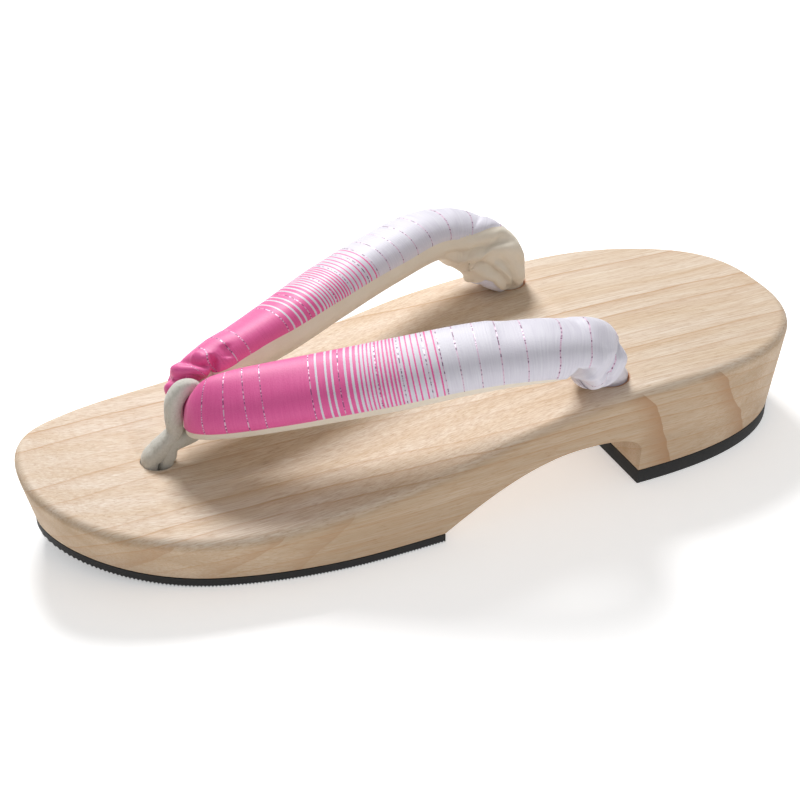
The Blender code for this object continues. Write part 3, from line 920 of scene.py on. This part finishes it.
def mixed(tree, share, first, second):
    """A colour between two others, which are sRGB hex or another node's output."""
    first, second = (to_linear(c) if isinstance(c, str) else c for c in (first, second))
    return add_node(tree, "Mix", {0: share, 6: first, 7: second}, data_type="RGBA").outputs[2]


def remapped(tree, value, low, high, to_low=0.0, to_high=1.0):
    """A value taken from one range to another, and kept inside it."""
    ends = {"From Min": low, "From Max": high, "To Min": to_low, "To Max": to_high}
    return add_node(tree, "MapRange", {"Value": value, **ends}).outputs[0]


def noise(tree, place, scale, detail):
    """Soft noise. The scale is in cells a metre: one number, or three for cells that are drawn out."""
    if isinstance(scale, tuple):
        place = add_node(tree, "Mapping", {0: place, "Scale": scale}).outputs[0]
        scale = 1.0
    return add_node(tree, "TexNoise", {"Vector": place, "Scale": scale, "Detail": detail}).outputs[0]


def relief(tree, height, distance, strength):
    """Fine relief that only the shading shows, with its height in metres."""
    inputs = {"Height": height, "Distance": distance, "Strength": strength}
    return add_node(tree, "Bump", inputs).outputs[0]


# %% [markdown]
# ## Wood
# The base is a pale, light wood such as paulownia, sanded and left almost bare, so it is matt. On the
# deck its growth rings are fine, faint orange-brown lines along its length, which move outwards where
# the deck rises. Tilted sheets in the block give that, because each surface cuts them.

# %% Growth rings
RING_TILT = 1.6
RING_DRIFT = 0.007
# a ramp has room for 32 stops, and each ring takes four
RINGS_A_RAMP = 7
# where each ring lies, in mm across the block at the deck's height 0, and how dark its line is
RINGS = (
    (-97, 0.3), (-90, 0.2), (-83, 0.9), (-75, 0.2), (-67, 0.25), (-59.5, 1.0), (-52, 0.8), (-48, 0.25),
    (-41, 0.2), (-33.5, 0.8), (-25, 0.6), (-17, 0.2), (-6.5, 0.6), (0.8, 0.8), (7.5, 0.7), (14, 0.3),
    (22, 0.5), (31, 0.5), (39, 0.4),
)


def ring_ramp(tree, sheet, rings):
    """A ramp with a thin dark line at each of these rings, each fading slowly towards the near side."""
    low, high = rings[0][0] - 2.0, rings[-1][0] + 6.0
    share = remapped(tree, sheet, low / 1000, high / 1000)
    ramp = add_node(tree, "ValToRGB", {0: share})
    elements = ramp.color_ramp.elements
    elements.remove(elements[-1])
    elements[0].color = (0, 0, 0, 1)
    for place, dark in rings:
        for offset, value in ((-0.35, 0.0), (0.0, dark), (0.55, dark * 0.30), (4.0, 0.0)):
            element = elements.new((place + offset - low) / (high - low))
            element.color = (value, value, value, 1)
    return ramp.outputs[0]


wood, tree, shader = new_material("sanded_paulownia")
coordinates = add_node(tree, "TexCoord").outputs
place = coordinates["Object"]
parts = add_node(tree, "SeparateXYZ", {0: place}).outputs
wobble = noise(tree, place, (11.0, 40.0, 40.0), 3.0)
wobble = maths(tree, "SUBTRACT", wobble, 0.5)
sheet = maths(tree, "MULTIPLY_ADD", parts["Z"], -RING_TILT, parts["Y"])
sheet = maths(tree, "MULTIPLY_ADD", wobble, RING_DRIFT, sheet)
rings = 0.0
for first in range(0, len(RINGS), RINGS_A_RAMP):
    lines = ring_ramp(tree, sheet, RINGS[first:first + RINGS_A_RAMP])
    rings = maths(tree, "ADD", lines, rings)
print("growth rings:", len(RINGS))

# %% [markdown]
# The sawn walls show the rings another way. Near the heel two ring fronts run down the wall at a
# slant, each with a sharp edge towards the heel and a soft fade of some 8 mm towards the toe, and
# fainter ones cross the wall at the toe. They are drawn by the distance along the sandal and the
# height, and only where the surface faces sideways.

# %% Ring fronts on the walls
FRONT_FADE = 0.009
# from toe mm at height 0, slope towards the toe, strength
WALL_FRONTS = (
    (187.0, 0.60, 1.0), (217.5, 0.63, 0.9), (62.0, -0.9, 0.4), (38.0, -1.2, 0.5), (16.0, -0.8, 0.5),
)
FRONT_DRIFT = 0.016
facing = add_node(tree, "SeparateXYZ", {0: coordinates["Normal"]}).outputs["Z"]
facing = maths(tree, "ABSOLUTE", facing)
on_wall = remapped(tree, facing, 0.75, 0.35)
fronts = 0.0
for from_toe, slope, strength in WALL_FRONTS:
    ahead = maths(tree, "MULTIPLY_ADD", parts["Z"], -slope, parts["X"])
    ahead = maths(tree, "MULTIPLY_ADD", wobble, FRONT_DRIFT, ahead)
    ahead = maths(tree, "SUBTRACT", ahead, x_at(from_toe / 1000))
    fade = remapped(tree, ahead, 0.0, FRONT_FADE, strength, 0.0)
    beyond = maths(tree, "GREATER_THAN", ahead, 0.0)
    band = maths(tree, "MULTIPLY", fade, beyond)
    fronts = maths(tree, "MAXIMUM", band, fronts)
fronts = maths(tree, "MULTIPLY", fronts, on_wall)

# %% [markdown]
# The drill leaves a darker, orange-brown edge round both rear holes, where it has rubbed the wood.

# %% Rims of the rear holes
RIM_WIDTH = 0.0006
flat_place = add_node(tree, "CombineXYZ", {"X": parts["X"], "Y": parts["Y"]}).outputs[0]
rims = 0.0
for from_toe, out, radius in (REAR_HOLE, FAR_HOLE):
    away = add_node(
        tree, "VectorMath", {0: flat_place, 1: (x_at(from_toe), out, 0.0)}, operation="DISTANCE"
    ).outputs["Value"]
    rim = remapped(tree, away, radius + 0.0002, radius + RIM_WIDTH, 0.75, 0.0)
    rims = maths(tree, "MAXIMUM", rim, rims)

# %% [markdown]
# The wood's fibres run along the sandal: fine streaks about 0.3 mm wide and 10 to 20 mm long, with
# darker open pores among them. The sawn walls are coloured darker than the deck: partly their own
# rougher grain, partly painted shade, as the walls are lit less than the deck. Their streaks are
# stronger.

# %% Fibres and colour of the wood
fibres = noise(tree, place, (60.0, 2400.0, 2400.0), 3.0)
pores = noise(tree, place, (300.0, 4200.0, 4200.0), 1.0)
pores = remapped(tree, pores, 0.58, 0.74)
bands = noise(tree, place, (10.0, 190.0, 120.0), 3.0)
bands = remapped(tree, bands, 0.3, 0.7)
deck_tone = mixed(tree, bands, "#E3D5C4", "#D8C3A9")
# the walls' tone is darker partly for the rougher sawn grain and partly as painted shade
wall_tone_and_shade = mixed(tree, bands, "#D0BBA1", "#B9A184")
tone = mixed(tree, on_wall, deck_tone, wall_tone_and_shade)
tone = mixed(tree, scaled(tree, fronts, 0.8), tone, "#A87B52")
tone = mixed(tree, scaled(tree, rings, 0.78), tone, "#B5834F")
streak = remapped(tree, fibres, 0.35, 0.75, 0.0, 0.58)
tone = mixed(tree, streak, tone, "#B68E66")
pored = scaled(tree, pores, 0.45)
tone = mixed(tree, pored, tone, "#A67C52")
tone = mixed(tree, rims, tone, "#A8602F")
connect(tree, shader, {
    "Base Color": tone,
    "IOR": 1.5,
    "Roughness": remapped(tree, fibres, 0.0, 1.0, 0.52, 0.70),
    "Normal": relief(tree, maths(tree, "SUBTRACT", fibres, pored), 0.00012, 0.5),
})
wood_piece.data.materials.append(wood)

# %% [markdown]
# ## Rubber
# The soles are black moulded rubber, matt with a faint sheen where it is smooth, and very slightly
# pitted. The pits are about 0.4 mm across.

# %% Rubber material
rubber, tree, shader = new_material("moulded_rubber")
place = add_node(tree, "TexCoord").outputs["Object"]
pits = noise(tree, place, 2500.0, 2.0)
connect(tree, shader, {
    "Base Color": mixed(tree, pits, "#0F0F10", "#1C1C1D"),
    "IOR": 1.52,
    "Roughness": remapped(tree, pits, 0.0, 1.0, 0.55, 0.8),
    "Normal": relief(tree, pits, 0.0001, 0.4),
})
for piece in (front_rubber, heel_rubber):
    piece.data.materials.append(rubber)

# %% [markdown]
# ## Striped cloth
# The cover is a shiny woven cloth, pink towards the toe and white towards the heel. Every stripe is a
# group of threads across the strap, so it is placed by its distance along it. White threads come
# closer and closer until the ground turns white, and then pink ones thin out. Some yarns are
# metallic: they dive under the weave, so they show as silver, dark and pink dashes.

# %% Places of the stripes
MEAN_RADIUS = 0.0095
GROUND_CHANGE = 0.0585
# along mm, half width mm
WHITE_THREADS = (
    (41.7, 0.30), (44.4, 0.30), (46.1, 0.30), (49.8, 0.33), (51.6, 0.36), (53.2, 0.36),
    (54.4, 0.32), (55.5, 0.32), (56.6, 0.30), (57.6, 0.28),
)
PINK_THREADS = (
    (59.2, 0.26), (60.3, 0.27), (61.4, 0.27), (62.4, 0.27), (63.4, 0.24), (65.3, 0.24),
    (66.8, 0.22), (68.3, 0.22), (70, 0.22), (72.2, 0.24), (74.2, 0.22),
)
METAL_YARNS = (
    (11.2, 0.13), (16.1, 0.14), (21.4, 0.14), (26.1, 0.14), (39.7, 0.14), (47.9, 0.14),
    (57.95, 0.15), (64.3, 0.15), (71.2, 0.15), (75.2, 0.15), (79.5, 0.14), (84.8, 0.14),
    (90.7, 0.15), (97.2, 0.14), (104.2, 0.16), (110.8, 0.16), (118.8, 0.13),
)


def threads(tree, place, table):
    """1 on every group of threads in a table, 0 elsewhere."""
    total = 0.0
    for middle, half in table:
        inside = maths(tree, "COMPARE", place, middle / 1000, half / 1000)
        total = maths(tree, "ADD", inside, total)
    return total


cloth, tree, shader = new_material("striped_woven_cloth")
along = add_node(tree, "Attribute", attribute_name="along").outputs["Fac"]
angle = add_node(tree, "Attribute", attribute_name="angle").outputs["Fac"]
around = scaled(tree, angle, MEAN_RADIUS)
surface = add_node(tree, "CombineXYZ", {"X": along, "Y": around}).outputs[0]
ragged = noise(tree, surface, (1500.0, 2200.0, 1.0), 2.0)
ragged = maths(tree, "SUBTRACT", ragged, 0.5)
edge = maths(tree, "MULTIPLY_ADD", ragged, 0.00022, along)
white = maths(tree, "GREATER_THAN", edge, GROUND_CHANGE)
white = maths(tree, "ADD", white, threads(tree, edge, WHITE_THREADS))
white = add_node(
    tree, "Math", {0: white, 1: threads(tree, edge, PINK_THREADS)}, operation="SUBTRACT", use_clamp=True
).outputs[0]
metal = threads(tree, edge, METAL_YARNS)
print("stripes:", len(WHITE_THREADS) + len(PINK_THREADS) + len(METAL_YARNS))

# %% [markdown]
# The threads are slightly uneven, as in raw silk: thin and thick places show as fine streaks across
# the strap, and a grain of single crossings lies over them. A soft sheen keeps the top bright.

# %% Colour and weave of the cloth
streaks = noise(tree, surface, (2600.0, 110.0, 1.0), 2.0)
grain = noise(tree, surface, (2600.0, 2600.0, 1.0), 1.0)
clouds = noise(tree, surface, (130.0, 60.0, 1.0), 2.0)
pink = mixed(tree, streaks, "#DC3C8A", "#F062A6")
pink = mixed(tree, scaled(tree, grain, 0.45), pink, "#F583BC")
pale = mixed(tree, streaks, "#CECBD8", "#EDEDF3")
pale = mixed(tree, scaled(tree, clouds, 0.30), pale, "#CDBDD2")
ground = mixed(tree, white, pink, pale)
dashes = noise(tree, surface, (260.0, 1400.0, 1.0), 0.0)
silver = maths(tree, "GREATER_THAN", dashes, 0.53)
dark = maths(tree, "LESS_THAN", dashes, 0.40)
hidden = mixed(tree, 0.55, ground, "#C27AA8")
yarn = mixed(tree, dark, hidden, "#7A4A70")
yarn = mixed(tree, silver, yarn, "#DFC3D6")
connect(tree, shader, {
    "Base Color": mixed(tree, metal, ground, yarn),
    "Metallic": scaled(tree, maths(tree, "MULTIPLY", metal, silver), 0.5),
    "Roughness": remapped(tree, streaks, 0.0, 1.0, 0.42, 0.62),
    "Sheen Weight": 0.15,
    "Sheen Roughness": 0.4,
    "Normal": relief(tree, maths(tree, "ADD", streaks, grain), 0.00010, 0.5),
})

# %% [markdown]
# ## Velvet
# The underside is cream velvet. Its pile is short and soft, so it looks paler where it is seen at a
# low angle, and it shows no weave.

# %% Velvet material
velvet, tree, shader = new_material("cream_velvet")
place = add_node(tree, "TexCoord").outputs["Object"]
pile = noise(tree, place, 1800.0, 2.0)
patches = noise(tree, place, 160.0, 2.0)
tone = mixed(tree, patches, "#E2D5C0", "#EDE3D2")
connect(tree, shader, {
    "Base Color": mixed(tree, scaled(tree, pile, 0.4), tone, "#F2EBDF"),
    "Roughness": 0.9,
    "Sheen Weight": 0.35,
    "Normal": relief(tree, pile, 0.00015, 0.4),
})

# %% Dress the strap
for finish in (cloth, velvet):
    strap_piece.data.materials.append(finish)
# on the near arm the velvet shows in the notch, this far from its line and where it weighs this much
NOTCH_HALF_WIDTH = 1.7
NOTCH_WEIGHT = 0.4
# on the far arm the roll is velvet until here, up to this row above its outer seam
ROLL_START, ROLL_END, ROLL_ROWS = 0.1240, 0.1303, 8
row_data, along_data, angle_data = (
    strap_piece.data.attributes[name].data for name in ("row", "real_along", "angle")
)
for polygon in strap_piece.data.polygons:
    rows = [row_data[index].value for index in polygon.vertices]
    first = polygon.vertices[0]
    place, turn = along_data[first].value, angle_data[first].value
    if strap_piece.data.vertices[first].co.y > 0:
        special = line_weight(place, turn, NOTCH_HALF_WIDTH, NOTCH) > NOTCH_WEIGHT
    else:
        special = ROLL_START < place < ROLL_END and max(rows) <= ROLL_ROWS
    polygon.material_index = 1 if special or max(rows) > TOP_POINTS + 0.5 else 0
smooth_shading(strap_piece, 180)

# %% [markdown]
# ## Felt
# The loop is soft grey-white felt: no weave, only short tangled fibres, quite matt.

# %% Felt material
felt, tree, shader = new_material("grey_white_felt")
place = add_node(tree, "TexCoord").outputs["Object"]
fuzz = noise(tree, place, 1500.0, 4.0)
connect(tree, shader, {
    "Base Color": mixed(tree, fuzz, "#BFBCB1", "#DEDCD3"),
    "Roughness": 0.95,
    "Sheen Weight": 0.4,
    "Normal": relief(tree, fuzz, 0.0003, 0.6),
})
loop_piece.data.materials.append(felt)

# %% [markdown]
# ## Floor and light
# The photograph has a plain white ground and soft studio light. A large soft lamp hangs above and
# behind the far side, so the strap's shadow falls towards the camera, and a weak one lights the near
# side. The room is bright above and dim below. The floor glows a little, so that it stays white.

# %% Floor
bm = bmesh.new()
bmesh.ops.create_grid(bm, x_segments=1, y_segments=1, size=3.0)
floor_piece = finished_piece(bm, "pale_floor")
paper, tree, shader = new_material("white_paper")
connect(tree, shader, {
    "Base Color": to_linear("#F4F4F4"),
    "Roughness": 0.9,
    "Emission Color": (1, 1, 1, 1),
    "Emission Strength": 0.42,
})
floor_piece.data.materials.append(paper)


# %% Lights
def soft_lamp(name, place, target, size, watts):
    lamp = bpy.data.lights.new(name, "AREA")
    lamp.shape = "DISK"
    lamp.size = size
    lamp.energy = watts
    aim(new_object(name, lamp), place, target)


soft_lamp("key_lamp", (-0.10, -0.95, 1.00), (0.0, 0.0, 0.02), 0.50, 19.0)
soft_lamp("fill_lamp", (-0.20, 1.1, 0.60), (0.0, 0.0, 0.02), 1.0, 1.9)
world = bpy.data.worlds.new("bright_room")
world.use_nodes = True
tree = world.node_tree
direction = add_node(tree, "TexCoord").outputs["Generated"]
upward = add_node(tree, "SeparateXYZ", {0: direction}).outputs["Z"]
dome = remapped(tree, upward, 0.0, 0.9, 0.08, 0.48)
connect(tree, tree.nodes["Background"], {"Color": (1, 1, 1, 1), "Strength": dome})
bpy.context.scene.world = world
bpy.context.scene.view_settings.view_transform = "Standard"

# %% [markdown]
# ## Attach the pieces
# Each piece rides on the sandal's one body and takes the place of the model's own solid, which is
# hidden.

# %% Attach the pieces and hide the model's solids
for piece, node, slot in (
    (wood_piece, "wooden_base", "wood"),
    (front_rubber, "front_sole", "rubber"),
    (heel_rubber, "heel_sole", "rubber"),
    (strap_piece, "padded_strap", "strap_cloth"),
    (loop_piece, "toe_loop", "loop_felt"),
):
    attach(piece, "root")
    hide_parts(node)
